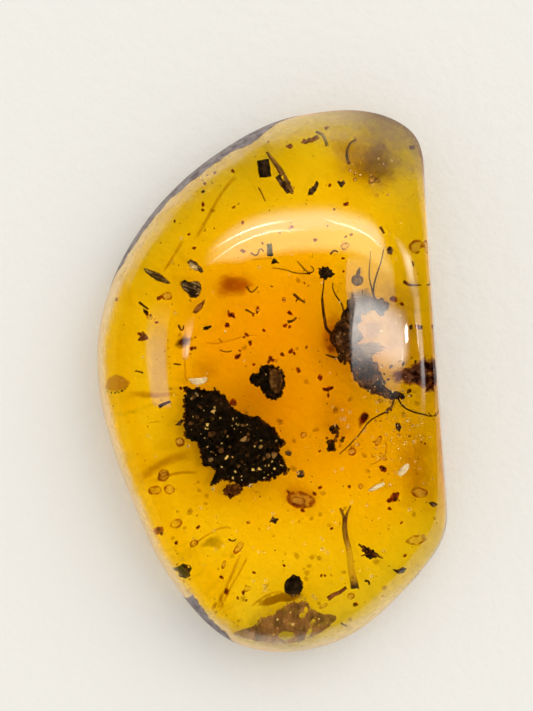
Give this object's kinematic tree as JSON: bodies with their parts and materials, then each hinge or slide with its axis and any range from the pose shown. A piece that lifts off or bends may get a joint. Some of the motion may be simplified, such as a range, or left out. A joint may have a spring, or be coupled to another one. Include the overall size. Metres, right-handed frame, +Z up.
{
  "type": "amber with insect inclusion",
  "caption": "Polished pebble of clear honey amber, one side sawn flat, with a small curled insect, frass and plant scraps sealed inside.",
  "frame": {"origin": "on the ground flat spot, at the middle of the stone's box in X and Y", "axes": "+Y along the stone's length towards its far end, +X towards the side that was sawn flat, +Z up"},
  "size_m": [0.0188, 0.0298, 0.0071],
  "materials": {
    "amber": "clear polished amber, honey to yellow",
    "insect_skin": "dark brown insect skin",
    "black_char": "black crumb, matt",
    "dark_bark": "dark brown bark, matt",
    "red_resin": "red-brown, dull",
    "orange_wood": "orange-brown rotted wood",
    "tan_stem": "brown plant tissue, translucent",
    "grey_scrap": "grey-brown, matt",
    "olive_husk": "olive brown husk, satin"
  },
  "bodies": {
    "root": {"amber_base": "amber", "amber_crown": "amber", "insect": "insect_skin", "frass_clump": "black_char", "small_clump": "dark_bark", "charred_lump": "black_char", "red_brown_mass": "red_resin", "dark_cluster": "black_char", "orange_fragment": "orange_wood", "ragged_flake": "black_char", "dark_seed": "dark_bark", "round_ball": "grey_scrap", "seed_husk": "olive_husk", "square_flake": "black_char", "splinter": "dark_bark", "oblong_flake": "grey_scrap", "winged_flake": "black_char", "grey_flake": "grey_scrap", "two_tone_chip": "grey_scrap", "brown_film": "tan_stem", "plant_stalk": "tan_stem", "red_brown_twig": "red_resin", "bent_twig": "grey_scrap", "curved_filament": "dark_bark"}
  },
  "joints": []
}
